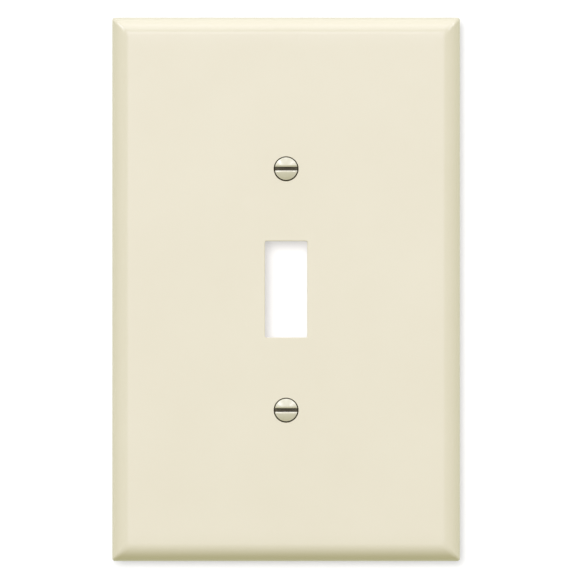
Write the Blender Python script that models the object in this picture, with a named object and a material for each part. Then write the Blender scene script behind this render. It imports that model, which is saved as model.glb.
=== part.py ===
"""One-gang oversize wall plate for a toggle switch, with its two captive mounting screws.

Frame: +Z up and +X to the right of someone facing the plate. The front face looks along -Y, the
rear rim stands on the wall plane y = 0, and the origin is the centre of the toggle opening in
that plane. All lengths are in metres.
"""

import math

import bmesh
import bpy
from mathutils import Vector

MM = 0.001

# Plate
PLATE_WIDTH = 87.0 * MM
PLATE_HEIGHT = 136.0 * MM
PLATE_DEPTH = 6.35 * MM
WALL = 2.2 * MM
CORNER_RADIUS = 0.8 * MM
SKIRT_DRAFT = 0.06 * MM
BEVEL_WIDTH = 3.9 * MM
BEVEL_EDGE_SLOPE = math.radians(78.0)

# Toggle opening, centred on the plate
OPENING_WIDTH = 10.6 * MM
OPENING_HEIGHT = 24.1 * MM
OPENING_CORNER_RADIUS = 0.4 * MM
COLLAR_WALL = 1.6 * MM
COLLAR_REAR = -2.0 * MM

# Screw holes, on the standard toggle switch centres
SCREW_SPACING = 60.325 * MM
COUNTERSINK_RADIUS = 3.05 * MM
COUNTERSINK_LAND = 0.7 * MM
COUNTERSINK_HALF_ANGLE = math.radians(41.0)
BORE_RADIUS = 1.95 * MM
BOSS_RADIUS = 4.6 * MM
BOSS_REAR = -1.4 * MM

# Ribs on the back of the face
RIB_THICKNESS = 1.2 * MM
RAIL_X = 8.4 * MM
RAIL_HALF_HEIGHT = 45.0 * MM
RAIL_REAR = -2.2 * MM
CROSS_RIB_HEIGHTS = (-40.0 * MM, 0.0, 40.0 * MM)
CROSS_RIB_REAR = -2.5 * MM
END_RIB_REAR = -2.35 * MM

# 6-32 slotted oval countersunk screw
THREAD_PITCH = 25.4 / 32 * MM
THREAD_MAJOR_RADIUS = 1.7525 * MM
THREAD_MINOR_RADIUS = 1.30 * MM
NECK_RADIUS = 1.45 * MM
SCREW_LENGTH = 12.7 * MM
HEAD_RADIUS = 2.86 * MM
HEAD_LAND = 0.4 * MM
DOME_HEIGHT = 0.9 * MM
SLOT_WIDTH = 0.95 * MM
SLOT_DEPTH = 1.15 * MM
TIP_CHAMFER = 0.45 * MM

# Retaining washer, pushed on near the screw's tip
WASHER_OUTER_RADIUS = 3.5 * MM
WASHER_INNER_RADIUS = 1.85 * MM
WASHER_THICKNESS = 0.8 * MM
WASHER_CHAMFER = 0.15 * MM
SCREW_TRAVEL = 6.25 * THREAD_PITCH
TRAVEL_STOP_GAP = 0.3 * MM
WASHER_FRONT = BOSS_REAR + SCREW_TRAVEL + TRAVEL_STOP_GAP

# Facets
CORNER_STEPS = 3
BEVEL_STEPS = 7
CAVITY_STEPS = 3
HOLE_SEGMENTS = 32
SCREW_SEGMENTS = 20
DOME_STEPS = 4

EMBED = 0.5 * MM       # how far a rib or boss reaches into the wall it grows from
OVERCUT = 1.0 * MM     # how far a cutter runs past the material
MERGE = 0.001 * MM
TURN = 2.0 * math.pi

FRONT = -PLATE_DEPTH
INNER_FACE = FRONT + WALL


def clear_scene():
    """Remove every object that the scene starts with."""
    for item in list(bpy.data.objects):
        bpy.data.objects.remove(item)


def make_material(name, colour, roughness, metallic):
    """A Principled BSDF material of one colour."""
    material = bpy.data.materials.new(name)
    material.use_nodes = True
    shader = material.node_tree.nodes["Principled BSDF"]
    shader.inputs["Base Color"].default_value = (*colour, 1.0)
    shader.inputs["Roughness"].default_value = roughness
    shader.inputs["Metallic"].default_value = metallic
    return material


def add_object(name, mesh_builder, material=None):
    """Turn a bmesh into an object whose faces point out."""
    bmesh.ops.remove_doubles(mesh_builder, verts=mesh_builder.verts, dist=MERGE)
    bmesh.ops.recalc_face_normals(mesh_builder, faces=mesh_builder.faces)
    mesh = bpy.data.meshes.new(name)
    mesh_builder.to_mesh(mesh)
    mesh_builder.free()
    item = bpy.data.objects.new(name, mesh)
    bpy.context.scene.collection.objects.link(item)
    if material:
        mesh.materials.append(material)
    return item


def add_tool(name, mesh_builder, parent):
    """A solid that only cuts or joins: it isn't part of the model itself."""
    tool = add_object(name, mesh_builder)
    tool.parent = parent
    tool.hide_render = True
    tool.display_type = "WIRE"
    return tool


def combine(item, tool, operation):
    """Cut a tool out of an object, or join it on."""
    modifier = item.modifiers.new(tool.name, "BOOLEAN")
    modifier.operation = operation
    modifier.solver = "EXACT"
    modifier.object = tool


def bridge(mesh_builder, rings, closed_ends=True):
    """Skin a row of vertex rings that all have the same number of vertices."""
    count = len(rings[0])
    for ring, following in zip(rings, rings[1:]):
        for index in range(count):
            after = (index + 1) % count
            mesh_builder.faces.new((ring[index], ring[after], following[after], following[index]))
    if closed_ends:
        mesh_builder.faces.new(rings[0])
        mesh_builder.faces.new(rings[-1])


def rounded_rectangle(half_width, half_height, radius, y):
    """Points round a rectangle with rounded corners, in a plane parallel to the wall."""
    points = []
    for corner, (side_x, side_z) in enumerate(((1, 1), (-1, 1), (-1, -1), (1, -1))):
        centre_x = side_x * (half_width - radius)
        centre_z = side_z * (half_height - radius)
        for step in range(CORNER_STEPS + 1):
            angle = (corner + step / CORNER_STEPS) * TURN / 4
            points.append(Vector((centre_x + radius * math.cos(angle), y, centre_z + radius * math.sin(angle))))
    return points


def rectangle_loft(levels):
    """Closed solid through rounded rectangles, each (half width, half height, radius, y)."""
    solid = bmesh.new()
    rings = [[solid.verts.new(point) for point in rounded_rectangle(*level)] for level in levels]
    bridge(solid, rings)
    return solid


def box(low, high):
    """Closed box between two corners."""
    solid = bmesh.new()
    bmesh.ops.create_cube(solid, size=1.0)
    for vertex in solid.verts:
        for axis in range(3):
            vertex.co[axis] = high[axis] if vertex.co[axis] > 0 else low[axis]
    return solid


def turned_solid(profile, centre_z, segments):
    """Solid turned about an axis parallel to Y; the profile is (radius, y) from end to end."""
    solid = bmesh.new()
    rings = []
    for radius, y in profile:
        angles = [step * TURN / segments for step in range(segments)]
        points = [(radius * math.cos(angle), y, centre_z + radius * math.sin(angle)) for angle in angles]
        rings.append([solid.verts.new(point) for point in points])
    bridge(solid, rings)
    return solid


def bevel_slope(inset):
    """The bevel's slope at a distance in from the skirt: it eases evenly to zero at the face."""
    return BEVEL_EDGE_SLOPE * (1 - inset / BEVEL_WIDTH)


def bevel_y(inset):
    """Y of the bevel at a distance in from the skirt, which is the integral of its slope."""
    fall = -math.log(math.cos(bevel_slope(inset)))
    return FRONT + fall * BEVEL_WIDTH / BEVEL_EDGE_SLOPE


def plate_level(inset, y):
    """Rounded rectangle of the plate's outline, inset all round."""
    return (PLATE_WIDTH / 2 - inset, PLATE_HEIGHT / 2 - inset, CORNER_RADIUS, y)


def plate_body():
    """Outer form of the plate, solid: the drafted skirt, the mitred bevel and the flat face."""
    levels = [plate_level(0.0, 0.0)]
    for step in range(BEVEL_STEPS + 1):
        inset = BEVEL_WIDTH * step / BEVEL_STEPS
        levels.append(plate_level(SKIRT_DRAFT + inset, bevel_y(inset)))
    return rectangle_loft(levels)


def plate_cavity():
    """The hollow behind the face, one wall thickness inside the outer form."""
    insets = [BEVEL_WIDTH * step / CAVITY_STEPS for step in range(CAVITY_STEPS + 1)]
    levels = []
    for inset in insets:
        slope = bevel_slope(inset)
        levels.append(plate_level(inset + WALL * math.sin(slope), bevel_y(inset) + WALL * math.cos(slope)))
    mouth = plate_level(WALL * math.sin(BEVEL_EDGE_SLOPE) - SKIRT_DRAFT, OVERCUT)
    return rectangle_loft([mouth, *levels])


def opening_block(grow, front, rear):
    """Block with the toggle opening's outline, grown outward."""
    outline = (OPENING_WIDTH / 2 + grow, OPENING_HEIGHT / 2 + grow, OPENING_CORNER_RADIUS + grow)
    return rectangle_loft([(*outline, rear), (*outline, front)])


def boss(centre_z):
    """Round pad round a screw hole, which bears on the switch's strap."""
    profile = [(BOSS_RADIUS, BOSS_REAR), (BOSS_RADIUS, INNER_FACE - EMBED)]
    return turned_solid(profile, centre_z, HOLE_SEGMENTS)


def screw_hole(centre_z):
    """Through hole with a countersink, which has a straight wall at its mouth."""
    cone_top = FRONT + COUNTERSINK_LAND
    cone_bottom = cone_top + (COUNTERSINK_RADIUS - BORE_RADIUS) / math.tan(COUNTERSINK_HALF_ANGLE)
    profile = [
        (BORE_RADIUS, OVERCUT),
        (BORE_RADIUS, cone_bottom),
        (COUNTERSINK_RADIUS, cone_top),
        (COUNTERSINK_RADIUS, FRONT - OVERCUT),
    ]
    return turned_solid(profile, centre_z, HOLE_SEGMENTS)


def rib(low_x, high_x, low_z, high_z, rear):
    """Rib on the back of the face, from corner to corner in the plane of the face."""
    return box((low_x, INNER_FACE - EMBED, low_z), (high_x, rear, high_z))


def rib_tools():
    """Every rib: two rails, their ends, the ties through the bosses, and the cross ribs."""
    half = RIB_THICKNESS / 2
    outer = PLATE_WIDTH / 2 - WALL
    for label, side in (("left", -1), ("right", 1)):
        rail = sorted((side * (RAIL_X - half), side * (RAIL_X + half)))
        yield f"rail_{label}", rib(*rail, -RAIL_HALF_HEIGHT, RAIL_HALF_HEIGHT, RAIL_REAR)
        reach = sorted((side * RAIL_X, side * outer))
        for number, z in enumerate(CROSS_RIB_HEIGHTS):
            yield f"cross_rib_{label}_{number}", rib(*reach, z - half, z + half, CROSS_RIB_REAR)
    for label, side in (("lower", -1), ("upper", 1)):
        for part, z in (("end", RAIL_HALF_HEIGHT - half), ("tie", SCREW_SPACING / 2)):
            middle = side * z
            yield f"{part}_rib_{label}", rib(-RAIL_X, RAIL_X, middle - half, middle + half, END_RIB_REAR)


def make_wall_plate(material):
    """The plate: hollowed, ribbed, then cut through for the toggle and the screws."""
    plate = add_object("wall_plate", plate_body(), material)
    combine(plate, add_tool("cavity_tool", plate_cavity(), plate), "DIFFERENCE")
    for name, solid in rib_tools():
        combine(plate, add_tool(f"{name}_tool", solid, plate), "UNION")
    collar = opening_block(COLLAR_WALL, INNER_FACE - EMBED, COLLAR_REAR)
    combine(plate, add_tool("collar_tool", collar, plate), "UNION")
    opening = opening_block(0.0, FRONT - OVERCUT, OVERCUT)
    for label, side in (("lower", -1), ("upper", 1)):
        centre_z = side * SCREW_SPACING / 2
        combine(plate, add_tool(f"{label}_boss_tool", boss(centre_z), plate), "UNION")
        combine(plate, add_tool(f"{label}_hole_tool", screw_hole(centre_z), plate), "DIFFERENCE")
    combine(plate, add_tool("opening_tool", opening, plate), "DIFFERENCE")
    return plate


def head_profile():
    """(radius, y) down the head: the dome, the narrow land and the countersunk cone."""
    dome_radius = (HEAD_RADIUS ** 2 + DOME_HEIGHT ** 2) / (2 * DOME_HEIGHT)
    dome_centre = -DOME_HEIGHT + dome_radius
    dome_angle = math.asin(HEAD_RADIUS / dome_radius)
    profile = []
    for step in range(1, DOME_STEPS + 1):
        angle = dome_angle * step / DOME_STEPS
        profile.append((dome_radius * math.sin(angle), dome_centre - dome_radius * math.cos(angle)))
    cone_height = (HEAD_RADIUS - NECK_RADIUS) / math.tan(COUNTERSINK_HALF_ANGLE)
    profile.append((HEAD_RADIUS, HEAD_LAND))
    profile.append((NECK_RADIUS, HEAD_LAND + cone_height))
    return profile


def thread_radius(phase):
    """Radius of a 60 degree thread at a place along its pitch, with flats at root and crest."""
    rise_end, crest_end, fall_end = 0.375, 0.5, 0.875
    if phase < rise_end:
        share = phase / rise_end
    elif phase < crest_end:
        share = 1.0
    elif phase < fall_end:
        share = (fall_end - phase) / (fall_end - crest_end)
    else:
        share = 0.0
    return THREAD_MINOR_RADIUS + share * (THREAD_MAJOR_RADIUS - THREAD_MINOR_RADIUS)


def thread_rows(start, end):
    """Rows of (radius, y) for each column round the screw, climbing one pitch per turn.

    Rows are held between start and end, where the thread has faded to its root.
    """
    phases = (0.0, 0.375, 0.5, 0.875)
    turns = math.ceil((end - start) / THREAD_PITCH) + 1
    rows = []
    for turn in range(turns + 1):
        for phase in phases:
            row = []
            for column in range(SCREW_SEGMENTS):
                climb = turn - 1 + phase + column / SCREW_SEGMENTS
                y = min(max(start + climb * THREAD_PITCH, start), end)
                fade = min((y - start) / THREAD_PITCH, (end - y) / THREAD_PITCH, 1.0)
                height = thread_radius(phase) - THREAD_MINOR_RADIUS
                row.append((THREAD_MINOR_RADIUS + fade * height, y))
            rows.append(row)
    return rows, len(phases)


def screw_solid():
    """The whole screw about the Y axis, its head's rim at y = 0, before the slot is cut.

    Columns run clockwise as the screw goes in, which makes the thread right-handed.
    """
    solid = bmesh.new()
    head = head_profile()
    thread_start = head[-1][1] + NECK_RADIUS - THREAD_MINOR_RADIUS
    thread_end = SCREW_LENGTH - TIP_CHAMFER
    helix, rows_per_turn = thread_rows(thread_start, thread_end)
    tip = (THREAD_MINOR_RADIUS - TIP_CHAMFER, SCREW_LENGTH)
    rows = [[ring] * SCREW_SEGMENTS for ring in head] + helix + [[tip] * SCREW_SEGMENTS]
    grid = []
    for row in rows:
        vertices = []
        for column, (radius, y) in enumerate(row):
            angle = -column * TURN / SCREW_SEGMENTS
            vertices.append(solid.verts.new((radius * math.cos(angle), y, radius * math.sin(angle))))
        grid.append(vertices)
    first_helix = len(head)
    last_helix = first_helix + len(helix) - 1
    for index in range(len(grid) - 1):
        for column in range(SCREW_SEGMENTS - 1):
            solid.faces.new((grid[index][column], grid[index][column + 1],
                             grid[index + 1][column + 1], grid[index + 1][column]))
        # The last column meets the first one turn further along the helix.
        on_helix = first_helix <= index < last_helix
        step = rows_per_turn if on_helix else 0
        if index + 1 + step <= last_helix or not on_helix:
            solid.faces.new((grid[index][-1], grid[index + step][0],
                             grid[index + 1 + step][0], grid[index + 1][-1]))
    crown = solid.verts.new((0.0, -DOME_HEIGHT, 0.0))
    point = solid.verts.new((0.0, SCREW_LENGTH, 0.0))
    for column in range(SCREW_SEGMENTS):
        after = (column + 1) % SCREW_SEGMENTS
        solid.faces.new((crown, grid[0][after], grid[0][column]))
        solid.faces.new((point, grid[-1][column], grid[-1][after]))
    return solid


def make_screw(name, centre_z, material):
    """A screw whose origin is on its own axis, at the plane of the head's rim."""
    screw = add_object(name, screw_solid(), material)
    screw.location = (0.0, FRONT, centre_z)
    slot_bottom = SLOT_DEPTH - DOME_HEIGHT
    reach = HEAD_RADIUS + OVERCUT
    slot = box((-reach, -DOME_HEIGHT - OVERCUT, -SLOT_WIDTH / 2), (reach, slot_bottom, SLOT_WIDTH / 2))
    combine(screw, add_tool(f"{name}_slot_tool", slot, screw), "DIFFERENCE")
    return screw


def make_washer(name, centre_z, material):
    """Retaining washer, its origin on the screw's axis at its front face."""
    inner, outer = WASHER_INNER_RADIUS, WASHER_OUTER_RADIUS
    chamfer, rear = WASHER_CHAMFER, WASHER_THICKNESS
    section = [
        (inner, chamfer), (inner + chamfer, 0.0), (outer - chamfer, 0.0), (outer, chamfer),
        (outer, rear - chamfer), (outer - chamfer, rear), (inner + chamfer, rear), (inner, rear - chamfer),
    ]
    solid = bmesh.new()
    rings = []
    for step in range(HOLE_SEGMENTS):
        angle = step * TURN / HOLE_SEGMENTS
        points = [(radius * math.cos(angle), y, radius * math.sin(angle)) for radius, y in section]
        rings.append([solid.verts.new(point) for point in points])
    bridge(solid, [*rings, rings[0]], closed_ends=False)
    washer = add_object(name, solid, material)
    washer.location = (0.0, WASHER_FRONT, centre_z)
    return washer


def shade_smooth(item, sharp_angle):
    """Smooth shading, except over edges sharper than an angle."""
    item.data.shade_smooth()
    item.data.set_sharp_from_angle(angle=sharp_angle)


def main():
    clear_scene()
    plastic = make_material("ivory_thermoplastic", (0.80, 0.74, 0.60), 0.35, 0.0)
    paint = make_material("ivory_painted_steel", (0.78, 0.73, 0.60), 0.40, 0.0)
    nylon = make_material("natural_nylon", (0.72, 0.70, 0.62), 0.50, 0.0)
    make_wall_plate(plastic)
    for label, side in (("upper", 1), ("lower", -1)):
        centre_z = side * SCREW_SPACING / 2
        screw = make_screw(f"{label}_screw", centre_z, paint)
        washer = make_washer(f"{label}_retaining_washer", centre_z, nylon)
        for item in (screw, washer):
            shade_smooth(item, math.radians(35.0))


main()
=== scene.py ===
"""Looks of an oversize ivory wall plate for a toggle switch and its two captive screws.

Everything is in metres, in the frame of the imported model: +Z up, the plate's front face looks
along -Y, and its rear rim stands on the plane y = 0.
"""

import math

import bmesh
import bpy
from mathutils import Matrix, Vector


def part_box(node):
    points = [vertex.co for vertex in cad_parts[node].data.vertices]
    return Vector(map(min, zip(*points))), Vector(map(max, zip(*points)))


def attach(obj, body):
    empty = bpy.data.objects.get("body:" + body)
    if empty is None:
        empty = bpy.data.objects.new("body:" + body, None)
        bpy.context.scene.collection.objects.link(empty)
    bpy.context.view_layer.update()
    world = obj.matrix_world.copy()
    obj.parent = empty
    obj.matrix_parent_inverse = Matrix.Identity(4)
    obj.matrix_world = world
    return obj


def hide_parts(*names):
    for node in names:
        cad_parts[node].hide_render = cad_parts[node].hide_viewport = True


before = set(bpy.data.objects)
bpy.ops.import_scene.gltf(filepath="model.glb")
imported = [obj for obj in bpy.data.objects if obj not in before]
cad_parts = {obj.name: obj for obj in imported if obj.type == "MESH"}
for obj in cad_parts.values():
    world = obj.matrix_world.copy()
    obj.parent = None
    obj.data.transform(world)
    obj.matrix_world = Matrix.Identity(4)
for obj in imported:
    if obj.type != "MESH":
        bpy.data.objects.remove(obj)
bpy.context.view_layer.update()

MM = 0.001
TURN = 2.0 * math.pi

# Places that the frame gives
PLATE_LOW, PLATE_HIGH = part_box("wall_plate")
FRONT = PLATE_LOW.y
HALF_WIDTH = (PLATE_HIGH.x - PLATE_LOW.x) / 2
HALF_HEIGHT = (PLATE_HIGH.z - PLATE_LOW.z) / 2
SCREW_LOW, SCREW_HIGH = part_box("upper_screw")
SCREW_TIP = SCREW_HIGH.y
SCREW_Z = (SCREW_LOW.z + SCREW_HIGH.z) / 2

# Moulding: sizes of the CAD plate, with the small radii that it leaves out
WALL = 2.2 * MM
INNER_FACE = FRONT + WALL
CORNER_RADIUS = 0.65 * MM
CORNER_GROWTH = 0.1
SKIRT_DRAFT = 0.06 * MM
BEVEL_WIDTH = 4.3 * MM
BEVEL_EDGE_SLOPE = math.radians(80.0)
BEVEL_EASING = 1.4
FACE_EASE_WIDTH = 8.0 * MM
FACE_EASE_SLOPE = math.radians(4.5)
RIM_RADIUS = 0.15 * MM
OPENING_HALF_WIDTH = 5.3 * MM
OPENING_HALF_HEIGHT = 12.05 * MM
OPENING_CORNER_RADIUS = 0.4 * MM
COLLAR_WALL = 1.6 * MM
COLLAR_REAR = -2.0 * MM
COUNTERSINK_RADIUS = 3.05 * MM
COUNTERSINK_LAND = 0.7 * MM
COUNTERSINK_SPREAD = math.tan(math.radians(41.0))
BORE_RADIUS = 1.95 * MM
BOSS_RADIUS = 4.6 * MM
BOSS_REAR = -1.4 * MM
LIP_RADIUS = 0.18 * MM
MOUTH_RADIUS = 0.1 * MM
PLATE_SAG = 0.05 * MM
RIB_THICKNESS = 1.2 * MM
RIB_FILLET = 0.5 * MM
RAIL_X = 8.4 * MM
RAIL_HALF_HEIGHT = 45.0 * MM
RAIL_REAR = -2.2 * MM
CROSS_RIB_HEIGHTS = (-40.0 * MM, 0.0, 40.0 * MM)
CROSS_RIB_REAR = -2.5 * MM
END_RIB_REAR = -2.35 * MM
EJECTOR_RADIUS = 2.6 * MM
EJECTOR_DEPTH = 0.12 * MM
EJECTOR_X = 25.0 * MM
EJECTOR_HEIGHTS = (-55.0 * MM, -20.0 * MM, 20.0 * MM, 55.0 * MM)

# 6-32 screw
THREAD_PITCH = 25.4 / 32 * MM
THREAD_MAJOR_RADIUS = 1.7525 * MM
THREAD_MINOR_RADIUS = 1.30 * MM
NECK_RADIUS = 1.45 * MM
SCREW_LENGTH = 12.7 * MM
HEAD_RADIUS = 2.83 * MM
HEAD_LAND = 0.4 * MM
HEAD_RIM_RADIUS = 0.1 * MM
DOME_HEIGHT = 0.9 * MM
SLOT_HALF_WIDTH = 0.44 * MM
SLOT_DEPTH = 1.15 * MM
SLOT_LIP_RADIUS = 0.52 * MM
SLOT_LIP_FLATNESS = 0.5
TIP_CHAMFER = 0.45 * MM
# One pitch of the thread, as (share of the pitch, share of the thread's depth)
THREAD_SECTION = (
    (0.0, 0.0),
    (0.07, 0.02),
    (0.25, 0.5),
    (0.43, 0.97),
    (0.5, 1.0),
    (0.57, 0.97),
    (0.75, 0.5),
    (0.93, 0.02),
)

# Retaining washer
WASHER_CLEARANCE = 0.1 * MM
WASHER_ROUNDING = 0.45
WASHER_SLITS = 6
WASHER_SLIT_DEPTH = 0.35 * MM
WASHER_SLIT_START = 0.6

# Facets
CORNER_STEPS = 10
BEVEL_STEPS = 30
EASE_STEPS = 8
LIP_STEPS = 5
HOLE_SEGMENTS = 96
SCREW_SEGMENTS = 64
DOME_STEPS = 14
SLOT_COLUMNS = 60
PLATE_SHARP_ANGLE = math.radians(35.0)
SMALL_SHARP_ANGLE = math.radians(40.0)

EMBED = 0.5 * MM
OVERCUT = 1.0 * MM
MERGE = 0.0005 * MM

# Face materials of the plate and of the screws, by their slot
# The plate's third slot, on the screw holes' walls, carries painted shade.
SHOW_FACE, BACK_FACE, HOLE_SHADE = 0, 1, 2
# The screws' third slot, dark steel in the slot and under the head's rim, carries painted shade.
PAINT, PLATING, STEEL_SHADE = 0, 1, 2

# Stage
LENS = 1000.0
SENSOR = 36.0
VIEW_WIDTH = 143.96 * MM
VIEW_CENTRE = Vector((0.47 * MM, 0.0, 0.33 * MM))
WALL_GAP = 13.65 * MM
WALL_SIZE = 4.0
FLOOR_BELOW = 0.30
WALL_COLOUR = (0.62, 0.62, 0.62)
WALL_GLOW = (0.16, 0.165, 0.255)
FLOOR_COLOUR = (0.80, 0.80, 0.80)
FLOOR_GLOW = (0.10, 0.10, 0.16)
SURROUND_BELOW = (0.424, 0.424, 0.236)
SURROUND_ABOVE = (0.892, 0.892, 0.754)
SEEN_BACKGROUND = (1.0, 1.0, 1.0)

# Lights that fall on the object alone, in degrees, metres and watts:
# name, polar angle from straight ahead, clock angle from up to the right, distance, width, length,
# power, colour
OBJECT_LIGHTS = (
    ("front_key", 8.8, -8.0, 24.0, 7.2, 7.2, 610.0, (0.83, 0.79, 1.0)),
    ("upper_left_box", 60.0, -45.0, 12.0, 2.4, 12.0, 525.0, (0.76, 0.80, 1.0)),
    ("upper_right_box", 60.0, 45.0, 12.0, 2.4, 12.0, 400.0, (0.76, 0.80, 1.0)),
    ("top_box", 60.0, 0.0, 12.0, 2.4, 12.0, 110.0, (0.76, 0.80, 1.0)),
)
REAR_LIGHT = ("rear_box", 157.0, -54.0, 3.0, 2.0, 2.0, 40.0, (0.80, 0.82, 1.0))
# The light whose shadow of the object falls on the wall
SHADOW_LIGHT = ("shadow_key", 3.4, -38.0, 6.0, 0.95, 0.95, 330.0, (1.0, 1.0, 1.0))


# ---------------------------------------------------------------- meshes

def new_object(name, solid, materials=()):
    """Turn a bmesh into an object whose faces point out."""
    bmesh.ops.remove_doubles(solid, verts=solid.verts, dist=MERGE)
    bmesh.ops.recalc_face_normals(solid, faces=solid.faces)
    mesh = bpy.data.meshes.new(name)
    solid.to_mesh(mesh)
    solid.free()
    item = bpy.data.objects.new(name, mesh)
    bpy.context.scene.collection.objects.link(item)
    for material in materials:
        mesh.materials.append(material)
    return item


def bridge(solid, rings, closed_ends=True):
    """Skin a row of vertex rings that all have the same number of vertices."""
    count = len(rings[0])
    for ring, following in zip(rings, rings[1:]):
        for index in range(count):
            after = (index + 1) % count
            solid.faces.new((ring[index], ring[after], following[after], following[index]))
    if closed_ends:
        solid.faces.new(rings[0])
        solid.faces.new(rings[-1])


def paint_faces(solid, slot):
    """Give every face of a bmesh one material slot."""
    for face in solid.faces:
        face.material_index = slot


def rounded_rectangle(half_x, half_z, radius, y):
    """Points round a rectangle with rounded corners, in a plane parallel to the wall."""
    points = []
    for corner, (side_x, side_z) in enumerate(((1, 1), (-1, 1), (-1, -1), (1, -1))):
        for step in range(CORNER_STEPS + 1):
            angle = (corner + step / CORNER_STEPS) * TURN / 4
            x = side_x * (half_x - radius) + radius * math.cos(angle)
            z = side_z * (half_z - radius) + radius * math.sin(angle)
            points.append((x, y, z))
    return points


def rectangle_loft(levels, slot):
    """Closed solid through rounded rectangles, each (half x, half z, radius, y)."""
    solid = bmesh.new()
    bridge(solid, [[solid.verts.new(point) for point in rounded_rectangle(*level)] for level in levels])
    paint_faces(solid, slot)
    return solid


def turned_solid(profile, centre, slot, segments=HOLE_SEGMENTS):
    """Solid turned about an axis parallel to Y; the profile is (radius, y) from end to end."""
    solid = bmesh.new()
    rings = []
    for radius, y in profile:
        angles = [step * TURN / segments for step in range(segments)]
        rings.append([
            solid.verts.new((centre[0] + radius * math.cos(angle), y, centre[1] + radius * math.sin(angle)))
            for angle in angles
        ])
    bridge(solid, rings)
    paint_faces(solid, slot)
    return solid


def combine(item, solid, operation):
    """Cut a solid out of an object, or join it on, and keep only the result."""
    tool = new_object("tool", solid)
    modifier = item.modifiers.new("combine", "BOOLEAN")
    modifier.operation = operation
    modifier.solver = "EXACT"
    modifier.object = tool
    keep_evaluated(item)
    mesh = tool.data
    bpy.data.objects.remove(tool)
    bpy.data.meshes.remove(mesh)


def keep_evaluated(item):
    """Replace an object's mesh with what its modifiers make of it."""
    graph = bpy.context.evaluated_depsgraph_get()
    result = bpy.data.meshes.new_from_object(item.evaluated_get(graph))
    item.modifiers.clear()
    before = item.data
    item.data = result
    bpy.data.meshes.remove(before)


def shade(item, sharp_angle):
    """Smooth shading with sharp edges kept, and normals weighted by the size of each face."""
    item.data.shade_smooth()
    item.data.set_sharp_from_angle(angle=sharp_angle)
    weighted = item.modifiers.new("weighted_normals", "WEIGHTED_NORMAL")
    weighted.mode = "FACE_AREA"
    weighted.keep_sharp = True
    keep_evaluated(item)


# ---------------------------------------------------------------- plate

def bevel_slope(inset):
    """Slope of the show surface at a distance in from the skirt: the bevel, and its easing."""
    bevel = BEVEL_EDGE_SLOPE * max(0.0, 1 - inset / BEVEL_WIDTH) ** BEVEL_EASING
    ease = FACE_EASE_SLOPE * max(0.0, 1 - inset / FACE_EASE_WIDTH) ** 2
    return bevel + ease


def bevel_profile():
    """(inset, y, slope) from the edge of the flat face out to the top of the skirt."""
    edge = [BEVEL_WIDTH * step / BEVEL_STEPS for step in range(BEVEL_STEPS)]
    ease_span = FACE_EASE_WIDTH - BEVEL_WIDTH
    insets = edge + [BEVEL_WIDTH + ease_span * step / EASE_STEPS for step in range(EASE_STEPS + 1)]
    profile = [(insets[-1], FRONT, 0.0)]
    for outer, inner in zip(insets[-2::-1], insets[::-1]):
        middle = (outer + inner) / 2
        y = profile[-1][1] + (inner - outer) * math.tan(bevel_slope(middle))
        profile.append((outer, y, bevel_slope(outer)))
    return profile


def plate_level(inset, y):
    """The plate's outline, inset all round; its corners get rounder toward the face."""
    radius = CORNER_RADIUS + CORNER_GROWTH * max(0.0, inset)
    return (HALF_WIDTH - inset, HALF_HEIGHT - inset, radius, y)


def plate_body(profile):
    """Outer form: the rounded rim edge, the drafted skirt, the mitred bevel and the flat face."""
    levels = [plate_level(SKIRT_DRAFT + inset, y) for inset, y, _ in profile]
    for step in range(LIP_STEPS + 1):
        angle = TURN / 4 * step / LIP_STEPS
        levels.append(plate_level(RIM_RADIUS * (1 - math.cos(angle)), RIM_RADIUS * (math.sin(angle) - 1)))
    return rectangle_loft(levels, SHOW_FACE)


def plate_cavity(profile):
    """The hollow behind the face, one wall thickness inside the outer form."""
    levels = []
    for inset, y, slope in profile:
        if inset <= BEVEL_WIDTH:
            levels.append(plate_level(inset + WALL * math.sin(slope), y + WALL * math.cos(slope)))
    mouth_inset = WALL * math.sin(bevel_slope(0.0)) - SKIRT_DRAFT
    levels.append(plate_level(mouth_inset, -RIM_RADIUS))
    levels.append(plate_level(mouth_inset - RIM_RADIUS, 0.0))
    levels.append(plate_level(mouth_inset - RIM_RADIUS, OVERCUT))
    return rectangle_loft(levels, BACK_FACE)


def lip_arc(radius, last_angle=TURN * 0.21):
    """(outward, back) offsets round an edge radius, from the wall to just short of the face."""
    steps = [last_angle * step / LIP_STEPS for step in range(LIP_STEPS + 1)]
    return [(radius * (1 - math.cos(angle)), radius * (1 - math.sin(angle))) for angle in steps]


def opening_level(grow, y):
    """The toggle opening's outline, grown all round."""
    return (OPENING_HALF_WIDTH + grow, OPENING_HALF_HEIGHT + grow, OPENING_CORNER_RADIUS + grow, y)


def opening_cutter():
    """The toggle opening, with a small radius round its front and rear edges."""
    arc = lip_arc(LIP_RADIUS)
    end_grow = arc[-1][0] + LIP_RADIUS
    levels = [opening_level(end_grow, OVERCUT)]
    levels += [opening_level(out, COLLAR_REAR - back) for out, back in reversed(arc)]
    levels += [opening_level(out, FRONT + back) for out, back in arc]
    levels.append(opening_level(end_grow, FRONT - LIP_RADIUS))
    return rectangle_loft(levels, SHOW_FACE)


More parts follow.
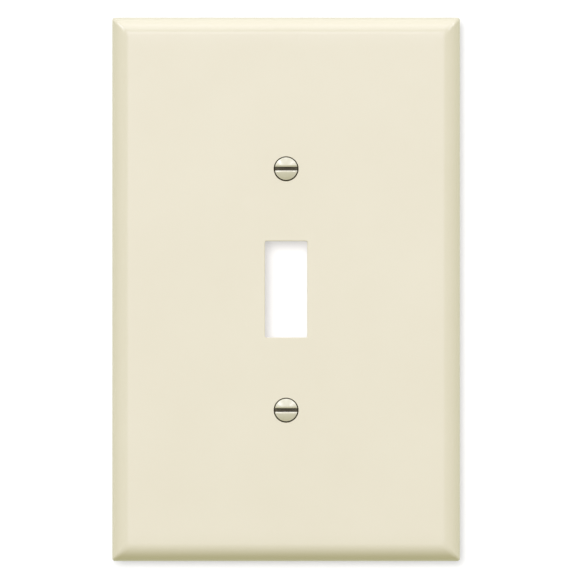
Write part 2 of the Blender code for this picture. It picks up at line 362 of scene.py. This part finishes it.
def screw_hole_cutter(centre_z):
    """Countersunk hole, with a straight wall at its mouth and a small radius where that meets the face.

    The plate hangs on its screws, so its holes stand a little below them.
    """
    cone_top = FRONT + COUNTERSINK_LAND
    cone_bottom = cone_top + (COUNTERSINK_RADIUS - BORE_RADIUS) / COUNTERSINK_SPREAD
    profile = [(BORE_RADIUS + LIP_RADIUS, OVERCUT), (BORE_RADIUS + LIP_RADIUS, BOSS_REAR)]
    profile += [(BORE_RADIUS + out, BOSS_REAR - back) for out, back in reversed(lip_arc(LIP_RADIUS))]
    profile += [(BORE_RADIUS, cone_bottom), (COUNTERSINK_RADIUS, cone_top)]
    profile += [(COUNTERSINK_RADIUS + out, FRONT + back) for out, back in lip_arc(MOUTH_RADIUS)]
    profile.append((COUNTERSINK_RADIUS + 2 * MOUTH_RADIUS, FRONT - MOUTH_RADIUS))
    # The hole's walls get the dark brown painted shade.
    return turned_solid(profile, (0.0, centre_z - PLATE_SAG), HOLE_SHADE)


def boss(centre_z):
    """Round pad round a screw hole, with a fillet at its foot and a rounded edge."""
    profile = [(BOSS_RADIUS + RIB_FILLET, INNER_FACE - EMBED)]
    for out, back in reversed(lip_arc(RIB_FILLET)):
        profile.append((BOSS_RADIUS + out, INNER_FACE + back))
    for out, back in lip_arc(LIP_RADIUS, TURN / 4):
        profile.append((BOSS_RADIUS - out, BOSS_REAR - back))
    return turned_solid(profile, (0.0, centre_z), BACK_FACE)


def collar():
    """Rim round the toggle opening on the back of the face."""
    levels = [opening_level(COLLAR_WALL + RIB_FILLET, INNER_FACE - EMBED)]
    for out, back in reversed(lip_arc(RIB_FILLET)):
        levels.append(opening_level(COLLAR_WALL + out, INNER_FACE + back))
    for out, back in lip_arc(LIP_RADIUS, TURN / 4):
        levels.append(opening_level(COLLAR_WALL - out, COLLAR_REAR - back))
    return rectangle_loft(levels, BACK_FACE)


def rib(start, end, rear):
    """Rib between two points (x, z) of the face, with fillets at its foot and rounded edges."""
    along = Vector((end[0] - start[0], 0.0, end[1] - start[1])).normalized()
    across = Vector((-along.z, 0.0, along.x))
    half = RIB_THICKNESS / 2
    section = [(half + RIB_FILLET, INNER_FACE - EMBED)]
    section += [(half + out, INNER_FACE + back) for out, back in reversed(lip_arc(RIB_FILLET))]
    section += [(half - out, rear - back) for out, back in lip_arc(LIP_RADIUS, TURN / 4)]
    section += [(-offset, y) for offset, y in reversed(section)]
    solid = bmesh.new()
    rings = []
    for x, z in (start, end):
        rings.append([solid.verts.new(Vector((x, y, z)) + across * offset) for offset, y in section])
    bridge(solid, rings)
    paint_faces(solid, BACK_FACE)
    return solid


def ribs():
    """Every rib: two rails, their ends, the ties through the bosses, and the cross ribs."""
    outer = HALF_WIDTH - WALL
    for side in (-1, 1):
        x = side * RAIL_X
        yield rib((x, -RAIL_HALF_HEIGHT), (x, RAIL_HALF_HEIGHT), RAIL_REAR)
        for z in CROSS_RIB_HEIGHTS:
            yield rib((x, z), (side * outer, z), CROSS_RIB_REAR)
        for z in (side * (RAIL_HALF_HEIGHT - RIB_THICKNESS / 2), side * SCREW_Z):
            yield rib((-RAIL_X, z), (RAIL_X, z), END_RIB_REAR)


def ejector_marks():
    """Shallow round marks that the mould's ejector pins leave on the inner face."""
    for side in (-1, 1):
        for z in EJECTOR_HEIGHTS:
            profile = [(EJECTOR_RADIUS, OVERCUT), (EJECTOR_RADIUS, INNER_FACE - EJECTOR_DEPTH)]
            yield turned_solid(profile, (side * EJECTOR_X, z), BACK_FACE, HOLE_SEGMENTS // 2)


def make_plate(materials):
    """The whole moulding as one closed mesh."""
    profile = bevel_profile()
    plate = new_object("moulded_plate", plate_body(profile), materials)
    combine(plate, plate_cavity(profile), "DIFFERENCE")
    for mark in ejector_marks():
        combine(plate, mark, "DIFFERENCE")
    for solid in ribs():
        combine(plate, solid, "UNION")
    combine(plate, collar(), "UNION")
    for side in (-1, 1):
        combine(plate, boss(side * SCREW_Z), "UNION")
        combine(plate, screw_hole_cutter(side * SCREW_Z), "DIFFERENCE")
    combine(plate, opening_cutter(), "DIFFERENCE")
    shade(plate, PLATE_SHARP_ANGLE)
    return plate


# ---------------------------------------------------------------- screws

def dome_y(radius):
    """Height of the head's dome at a distance from its axis, with the head's rim at y = 0."""
    sphere = (HEAD_RADIUS ** 2 + DOME_HEIGHT ** 2) / (2 * DOME_HEIGHT)
    inside = min(radius, HEAD_RADIUS)
    return sphere - DOME_HEIGHT - math.sqrt(sphere ** 2 - inside ** 2)


def head_profile():
    """(radius, y) down the head: the dome, its rounded rim, the land and the cone."""
    rim_start = HEAD_RADIUS - HEAD_RIM_RADIUS
    dome_share = 0.3
    profile = []
    for step in range(1, DOME_STEPS + 1):
        radius = rim_start * step / DOME_STEPS
        profile.append((radius, dome_y(radius)))
    rim_y = dome_y(rim_start) + HEAD_RIM_RADIUS
    for step in range(1, LIP_STEPS + 1):
        angle = TURN / 4 * (dome_share + (1 - dome_share) * step / LIP_STEPS)
        radius = rim_start + HEAD_RIM_RADIUS * math.sin(angle)
        profile.append((radius, rim_y - HEAD_RIM_RADIUS * math.cos(angle)))
    cone_height = (HEAD_RADIUS - NECK_RADIUS) / COUNTERSINK_SPREAD
    profile.append((HEAD_RADIUS, HEAD_LAND))
    profile.append((NECK_RADIUS, HEAD_LAND + cone_height))
    return profile


def thread_rows(start, end):
    """Rows of (radius, y) for each column round the screw, climbing one pitch per turn.

    Rows are held between start and end, where the thread has faded to its root.
    """
    turns = math.ceil((end - start) / THREAD_PITCH) + 1
    rows = []
    for turn in range(turns + 1):
        for phase, height in THREAD_SECTION:
            row = []
            for column in range(SCREW_SEGMENTS):
                climb = turn - 1 + phase + column / SCREW_SEGMENTS
                y = min(max(start + climb * THREAD_PITCH, start), end)
                fade = min((y - start) / THREAD_PITCH, (end - y) / THREAD_PITCH, 1.0)
                rise = fade * height * (THREAD_MAJOR_RADIUS - THREAD_MINOR_RADIUS)
                row.append((THREAD_MINOR_RADIUS + rise, y))
            rows.append(row)
    return rows


def screw_solid(centre_z):
    """A screw before its slot is cut. Columns run clockwise inward: the thread is right-handed."""
    solid = bmesh.new()
    head = head_profile()
    thread_start = head[-1][1] + NECK_RADIUS - THREAD_MINOR_RADIUS
    helix = thread_rows(thread_start, SCREW_LENGTH - TIP_CHAMFER)
    tip = (THREAD_MINOR_RADIUS - TIP_CHAMFER, SCREW_LENGTH)
    rows = [[ring] * SCREW_SEGMENTS for ring in head] + helix + [[tip] * SCREW_SEGMENTS]
    grid = []
    for row in rows:
        vertices = []
        for column, (radius, y) in enumerate(row):
            angle = -column * TURN / SCREW_SEGMENTS
            place = (radius * math.cos(angle), FRONT + y, centre_z + radius * math.sin(angle))
            vertices.append(solid.verts.new(place))
        grid.append(vertices)
    first_helix = len(head)
    last_helix = first_helix + len(helix) - 1
    painted_rows = DOME_STEPS + LIP_STEPS
    for index, (row, after) in enumerate(zip(grid, grid[1:])):
        if index < painted_rows:
            slot = PAINT
        # The land and the cone under the head's rim: dark steel as painted shade in the countersink's gap.
        elif index < first_helix - 1:
            slot = STEEL_SHADE
        else:
            slot = PLATING
        quads = [
            (row[column], row[column + 1], after[column + 1], after[column])
            for column in range(SCREW_SEGMENTS - 1)
        ]
        # The last column meets the first one turn further along the helix.
        on_helix = first_helix <= index < last_helix
        step = len(THREAD_SECTION) if on_helix else 0
        if index + 1 + step <= last_helix or not on_helix:
            quads.append((row[-1], grid[index + step][0], grid[index + 1 + step][0], after[-1]))
        for quad in quads:
            solid.faces.new(quad).material_index = slot
    crown = solid.verts.new((0.0, FRONT - DOME_HEIGHT, centre_z))
    point = solid.verts.new((0.0, FRONT + SCREW_LENGTH, centre_z))
    for column in range(SCREW_SEGMENTS):
        after = (column + 1) % SCREW_SEGMENTS
        solid.faces.new((crown, grid[0][after], grid[0][column])).material_index = PAINT
        solid.faces.new((point, grid[-1][column], grid[-1][after])).material_index = PLATING
    return solid


def slot_cutter(centre_z):
    """The driver slot, whose lips are rounded where its walls meet the dome."""
    floor = SLOT_DEPTH - DOME_HEIGHT
    reach = HEAD_RADIUS + OVERCUT
    outer = SLOT_HALF_WIDTH + 2 * SLOT_LIP_RADIUS
    arc = lip_arc(SLOT_LIP_RADIUS, TURN * 0.2)
    solid = bmesh.new()
    rings = []
    for column in range(SLOT_COLUMNS + 1):
        x = reach * (2 * column / SLOT_COLUMNS - 1)
        surface = dome_y(math.hypot(x, SLOT_HALF_WIDTH + SLOT_LIP_RADIUS))
        half = [(SLOT_HALF_WIDTH, floor)]
        for out, back in arc:
            half.append((SLOT_HALF_WIDTH + out, min(surface + SLOT_LIP_FLATNESS * back, floor)))
        half.append((outer, surface - 1.5 * SLOT_LIP_RADIUS))
        half.append((outer, -DOME_HEIGHT - OVERCUT))
        section = half + [(-z, y) for z, y in reversed(half)]
        rings.append([solid.verts.new((x, FRONT + y, centre_z + z)) for z, y in section])
    bridge(solid, rings)
    paint_faces(solid, PAINT)
    # The slot's walls and floor get the dark steel as painted shade.
    shade_below = FRONT + dome_y(HEAD_RADIUS / 2) - 2 * SLOT_LIP_RADIUS
    for face in solid.faces:
        middle = face.calc_center_median()
        in_slot = abs(middle.z - centre_z) <= SLOT_HALF_WIDTH + MERGE
        if in_slot and middle.y > shade_below:
            face.material_index = STEEL_SHADE
    return solid


def make_screw(name, centre_z, materials):
    """One slotted oval-head screw, seated in the plate."""
    screw = new_object(name, screw_solid(centre_z), materials)
    combine(screw, slot_cutter(centre_z), "DIFFERENCE")
    shade(screw, SMALL_SHARP_ANGLE)
    return screw


def make_washer(name, node, materials):
    """Push-on nylon washer: rounded outside, with slits that let its bore grip the thread."""
    low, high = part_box(node)
    centre = (low + high) / 2
    outer = (high.x - low.x) / 2
    inner = THREAD_MAJOR_RADIUS + WASHER_CLEARANCE
    half = (high.y - low.y) / 2
    edge = half * WASHER_ROUNDING
    bevel = edge * 0.7
    solid = bmesh.new()
    rings = []
    segments = HOLE_SEGMENTS * 2
    for step in range(segments):
        angle = step * TURN / segments
        wave = math.cos(angle * WASHER_SLITS)
        slit = max(0.0, wave - WASHER_SLIT_START) / (1 - WASHER_SLIT_START)
        bore = inner + WASHER_SLIT_DEPTH * slit
        section = []
        for side in (1, -1):
            for quarter in range(LIP_STEPS + 1):
                turn = TURN / 4 * quarter / LIP_STEPS
                swing = (math.sin(turn), math.cos(turn)) if side > 0 else (math.cos(turn), math.sin(turn))
                radius = outer - edge * (1 - swing[0])
                section.append((radius, side * (half - edge + edge * swing[1])))
        section.append((bore + edge, -half))
        section.append((bore, bevel - half))
        section.append((bore, half - bevel))
        section.append((bore + edge, half))
        place = [(radius * math.cos(angle), y, radius * math.sin(angle)) for radius, y in section]
        rings.append([solid.verts.new(Vector(point) + centre) for point in place])
    bridge(solid, [*rings, rings[0]], closed_ends=False)
    washer = new_object(name, solid, materials)
    shade(washer, SMALL_SHARP_ANGLE)
    return washer


# ---------------------------------------------------------------- materials

def new_material(name, colour, roughness, metallic=0.0):
    """A Principled material, its node tree and its shader."""
    material = bpy.data.materials.new(name)
    material.use_nodes = True
    tree = material.node_tree
    shader = tree.nodes["Principled BSDF"]
    shader.inputs["Base Color"].default_value = (*colour, 1.0)
    shader.inputs["Roughness"].default_value = roughness
    shader.inputs["Metallic"].default_value = metallic
    return material, tree, shader


def noise(tree, scale, detail=3.0, roughness=0.55):
    """Noise in the object's own space; scale is in features per metre."""
    place = tree.nodes.new("ShaderNodeTexCoord")
    texture = tree.nodes.new("ShaderNodeTexNoise")
    texture.inputs["Scale"].default_value = scale
    texture.inputs["Detail"].default_value = detail
    texture.inputs["Roughness"].default_value = roughness
    tree.links.new(place.outputs["Object"], texture.inputs["Vector"])
    return texture.outputs["Fac"]


def spread(tree, value, low, high):
    """Map a 0 to 1 value to a range."""
    node = tree.nodes.new("ShaderNodeMapRange")
    node.inputs["From Min"].default_value = 0.3
    node.inputs["From Max"].default_value = 0.7
    node.inputs["To Min"].default_value = low
    node.inputs["To Max"].default_value = high
    tree.links.new(value, node.inputs["Value"])
    return node.outputs["Result"]


def vary_colour(tree, shader, first, second, value):
    """Base colour between two colours."""
    mix = tree.nodes.new("ShaderNodeMix")
    mix.data_type = "RGBA"
    mix.inputs["A"].default_value = (*first, 1.0)
    mix.inputs["B"].default_value = (*second, 1.0)
    tree.links.new(value, mix.inputs["Factor"])
    tree.links.new(mix.outputs["Result"], shader.inputs["Base Color"])


def vary_roughness(tree, shader, value, low, high):
    """Roughness between two values."""
    tree.links.new(spread(tree, value, low, high), shader.inputs["Roughness"])


def add_bump(tree, shader, height, strength, distance):
    """Bump from a height; distance is the height of the relief in metres."""
    bump = tree.nodes.new("ShaderNodeBump")
    bump.inputs["Strength"].default_value = strength
    bump.inputs["Distance"].default_value = distance
    tree.links.new(height, bump.inputs["Height"])
    tree.links.new(bump.outputs["Normal"], shader.inputs["Normal"])


def show_plastic():
    """Ivory thermoplastic off a polished mould: faint clouding, and a gloss that varies a little."""
    material, tree, shader = new_material("ivory_show_face", (0.80, 0.74, 0.62), 0.22)
    clouds = spread(tree, noise(tree, 45.0, 4.0), 0.0, 1.0)
    vary_colour(tree, shader, (0.795, 0.735, 0.615), (0.81, 0.752, 0.635), clouds)
    vary_roughness(tree, shader, noise(tree, 220.0), 0.21, 0.23)
    shader.inputs["IOR"].default_value = 1.58
    return material


def back_plastic():
    """The same plastic off the unpolished side of the mould: duller and grained."""
    material, tree, shader = new_material("ivory_back_face", (0.78, 0.72, 0.57), 0.55)
    clouds = spread(tree, noise(tree, 60.0, 5.0), 0.0, 1.0)
    vary_colour(tree, shader, (0.755, 0.695, 0.545), (0.79, 0.73, 0.58), clouds)
    vary_roughness(tree, shader, noise(tree, 900.0), 0.48, 0.62)
    add_bump(tree, shader, noise(tree, 5000.0, 4.0), 0.35, 0.03 * MM)
    return material


def hole_painted_shade():
    """The plastic down in the screw holes, painted dark brown: painted shade for the gap round the screw
    heads.
    """
    material, tree, shader = new_material("ivory_hole_painted_shade", (0.14, 0.11, 0.06), 0.6)
    shade_noise = spread(tree, noise(tree, 1200.0, 4.0), 0.0, 1.0)
    vary_colour(tree, shader, (0.10, 0.08, 0.04), (0.18, 0.145, 0.085), shade_noise)
    vary_roughness(tree, shader, noise(tree, 900.0), 0.5, 0.7)
    return material


def head_paint():
    """Ivory enamel with a metallic sheen on the screw head."""
    material, tree, shader = new_material("ivory_head_enamel", (0.75, 0.71, 0.61), 0.32, 0.15)
    patches = spread(tree, noise(tree, 900.0, 4.0), 0.0, 1.0)
    vary_colour(tree, shader, (0.735, 0.695, 0.59), (0.77, 0.73, 0.635), patches)
    vary_roughness(tree, shader, noise(tree, 1600.0), 0.28, 0.36)
    add_bump(tree, shader, noise(tree, 2600.0, 3.0), 0.2, 0.03 * MM)
    return material


def zinc_plate():
    """Bright zinc plating on the thread, with drawn marks along it."""
    material, tree, shader = new_material("zinc_plated_thread", (0.62, 0.62, 0.60), 0.32, 1.0)
    grain = spread(tree, noise(tree, 2500.0, 5.0, 0.7), 0.0, 1.0)
    vary_colour(tree, shader, (0.52, 0.51, 0.48), (0.70, 0.70, 0.69), grain)
    vary_roughness(tree, shader, noise(tree, 4000.0), 0.24, 0.42)
    add_bump(tree, shader, noise(tree, 6000.0, 4.0), 0.25, 0.02 * MM)
    return material


def dark_steel_painted_shade():
    """Dark steel in the slot and under the head's rim: painted shade for these recesses."""
    material, tree, shader = new_material("steel_painted_shade", (0.08, 0.067, 0.045), 0.5, 0.3)
    grain = spread(tree, noise(tree, 3000.0, 4.0), 0.0, 1.0)
    vary_colour(tree, shader, (0.065, 0.055, 0.035), (0.12, 0.103, 0.075), grain)
    vary_roughness(tree, shader, noise(tree, 2500.0), 0.42, 0.6)
    return material


def nylon():
    """Natural nylon: milky and slightly translucent."""
    material, tree, shader = new_material("natural_nylon", (0.74, 0.71, 0.62), 0.45)
    clouds = spread(tree, noise(tree, 500.0, 3.0), 0.0, 1.0)
    vary_colour(tree, shader, (0.70, 0.67, 0.57), (0.78, 0.755, 0.67), clouds)
    vary_roughness(tree, shader, noise(tree, 1500.0), 0.38, 0.52)
    add_bump(tree, shader, noise(tree, 3500.0, 2.0), 0.2, 0.02 * MM)
    shader.inputs["Subsurface Weight"].default_value = 0.3
    shader.inputs["Subsurface Radius"].default_value = (1.0, 0.9, 0.7)
    shader.inputs["Subsurface Scale"].default_value = 0.5 * MM
    return material


# ---------------------------------------------------------------- stage

def one_sided_material(name, colour, glow):
    """A pale matt surface that is only there from its front, so it never hides the object's back."""
    material = bpy.data.materials.new(name)
    material.use_nodes = True
    tree = material.node_tree
    tree.nodes.clear()
    output = tree.nodes.new("ShaderNodeOutputMaterial")
    diffuse = tree.nodes.new("ShaderNodeBsdfDiffuse")
    diffuse.inputs["Color"].default_value = (*colour, 1.0)
    emission = tree.nodes.new("ShaderNodeEmission")
    emission.inputs["Color"].default_value = (*glow, 1.0)
    both = tree.nodes.new("ShaderNodeAddShader")
    clear = tree.nodes.new("ShaderNodeBsdfTransparent")
    choose = tree.nodes.new("ShaderNodeMixShader")
    facing = tree.nodes.new("ShaderNodeNewGeometry")
    tree.links.new(diffuse.outputs["BSDF"], both.inputs[0])
    tree.links.new(emission.outputs["Emission"], both.inputs[1])
    tree.links.new(facing.outputs["Backfacing"], choose.inputs["Fac"])
    tree.links.new(both.outputs["Shader"], choose.inputs[1])
    tree.links.new(clear.outputs["BSDF"], choose.inputs[2])
    tree.links.new(choose.outputs["Shader"], output.inputs["Surface"])
    return material


def stage_plane(name, corners, material):
    """A large flat stage surface that doesn't block or bounce the studio light."""
    mesh = bpy.data.meshes.new(name)
    mesh.from_pydata(corners, [], [(0, 1, 2, 3)])
    mesh.materials.append(material)
    plane = bpy.data.objects.new(name, mesh)
    bpy.context.scene.collection.objects.link(plane)
    plane.visible_shadow = False
    plane.visible_diffuse = False
    plane.visible_glossy = False
    return plane


def make_stage():
    """White wall a little behind the screw tips, and a pale floor well below the plate."""
    half = WALL_SIZE / 2
    wall_y = SCREW_TIP + WALL_GAP
    floor_z = -HALF_HEIGHT - FLOOR_BELOW
    foot_left, foot_right = (-half, wall_y, floor_z), (half, wall_y, floor_z)
    wall = [foot_left, foot_right, (half, wall_y, half), (-half, wall_y, half)]
    floor = [(-half, -half, floor_z), (half, -half, floor_z), foot_right, foot_left]
    white = one_sided_material("backdrop_white", WALL_COLOUR, WALL_GLOW)
    pale = one_sided_material("floor_pale", FLOOR_COLOUR, FLOOR_GLOW)
    return [stage_plane("backdrop_wall", wall, white), stage_plane("pale_floor", floor, pale)]


def softbox(name, polar, clock, distance, width, length, power, colour):
    """Rectangular area light facing the plate, its length lying along the polar direction."""
    light = bpy.data.lights.new(name, "AREA")
    light.shape = "RECTANGLE"
    light.size = width
    light.size_y = length
    light.energy = power
    light.color = colour
    item = bpy.data.objects.new(name, light)
    toward = polar_direction(polar, clock)
    along = polar_direction(polar + 90.0, clock)
    turn = Matrix((along.cross(toward), along, toward)).transposed()
    item.location = toward * distance
    item.rotation_euler = turn.to_euler()
    item.visible_camera = False
    bpy.context.scene.collection.objects.link(item)
    return item


def link_to_stage(light, planes, state):
    """Let a light fall on the stage alone (INCLUDE), or on everything but the stage (EXCLUDE)."""
    receivers = bpy.data.collections.new(f"{light.name}_receivers")
    for plane in planes:
        receivers.objects.link(plane)
    for entry in receivers.collection_objects:
        entry.light_linking.link_state = state
    light.light_linking.receiver_collection = receivers


def polar_direction(polar, clock):
    """Direction at an angle from straight ahead of the plate, and a clock angle from up to the right."""
    polar, clock = math.radians(polar), math.radians(clock)
    return Vector((math.sin(polar) * math.sin(clock), -math.cos(polar), math.sin(polar) * math.cos(clock)))


def make_lights(stage):
    """Light the object, its back too, and cast its soft shadow on the wall with a light of its own."""
    rear = softbox(*REAR_LIGHT)
    rear.visible_glossy = False
    link_to_stage(rear, stage, "EXCLUDE")
    for values in OBJECT_LIGHTS:
        link_to_stage(softbox(*values), stage, "EXCLUDE")
    link_to_stage(softbox(*SHADOW_LIGHT), stage, "INCLUDE")


def make_world():
    """Soft surround, warm and dim below and paler above; the camera sees it as plain white."""
    world = bpy.data.worlds.new("soft_surround")
    bpy.context.scene.world = world
    world.use_nodes = True
    tree = world.node_tree
    background = tree.nodes["Background"]
    place = tree.nodes.new("ShaderNodeTexCoord")
    split = tree.nodes.new("ShaderNodeSeparateXYZ")
    height = tree.nodes.new("ShaderNodeMapRange")
    height.inputs["From Min"].default_value = -1.0
    surround = tree.nodes.new("ShaderNodeMix")
    surround.data_type = "RGBA"
    surround.inputs["A"].default_value = (*SURROUND_BELOW, 1.0)
    surround.inputs["B"].default_value = (*SURROUND_ABOVE, 1.0)
    camera_ray = tree.nodes.new("ShaderNodeLightPath")
    seen = tree.nodes.new("ShaderNodeMix")
    seen.data_type = "RGBA"
    seen.inputs["B"].default_value = (*SEEN_BACKGROUND, 1.0)
    tree.links.new(place.outputs["Generated"], split.inputs["Vector"])
    tree.links.new(split.outputs["Z"], height.inputs["Value"])
    tree.links.new(height.outputs["Result"], surround.inputs["Factor"])
    tree.links.new(surround.outputs["Result"], seen.inputs["A"])
    tree.links.new(camera_ray.outputs["Is Camera Ray"], seen.inputs["Factor"])
    tree.links.new(seen.outputs["Result"], background.inputs["Color"])


def make_camera():
    """Long lens square to the plate, at the distance where the frame is VIEW_WIDTH wide."""
    data = bpy.data.cameras.new("camera")
    data.lens = LENS
    data.sensor_width = SENSOR
    data.clip_end = 40.0
    camera = bpy.data.objects.new("camera", data)
    distance = LENS * VIEW_WIDTH / SENSOR
    camera.location = VIEW_CENTRE + Vector((0.0, FRONT - distance, 0.0))
    camera.rotation_euler = (TURN / 4, 0.0, 0.0)
    bpy.context.scene.collection.objects.link(camera)
    bpy.context.scene.camera = camera


# ---------------------------------------------------------------- scene

def finish_piece(item, body, node):
    """Hide the CAD node that a piece stands in for, and hang the piece on the empty of the body it rides.
    """
    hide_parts(node)
    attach(item, body)


# The plate's third material is painted shade in the screw holes.
plate_materials = (show_plastic(), back_plastic(), hole_painted_shade())
# The screws' third material is painted shade in the slot and under the head's rim.
screw_materials = (head_paint(), zinc_plate(), dark_steel_painted_shade())
washer_materials = (nylon(),)

finish_piece(make_plate(plate_materials), "plate", "wall_plate")
for label, side in (("upper", 1), ("lower", -1)):
    screw = make_screw(f"{label}_oval_head_screw", side * SCREW_Z, screw_materials)
    finish_piece(screw, f"{label}_screw", f"{label}_screw")
    washer_node = f"{label}_retaining_washer"
    washer = make_washer(f"{label}_nylon_washer", washer_node, washer_materials)
    finish_piece(washer, f"{label}_washer", washer_node)

make_lights(make_stage())
make_world()
make_camera()
bpy.context.scene.view_settings.view_transform = "Standard"
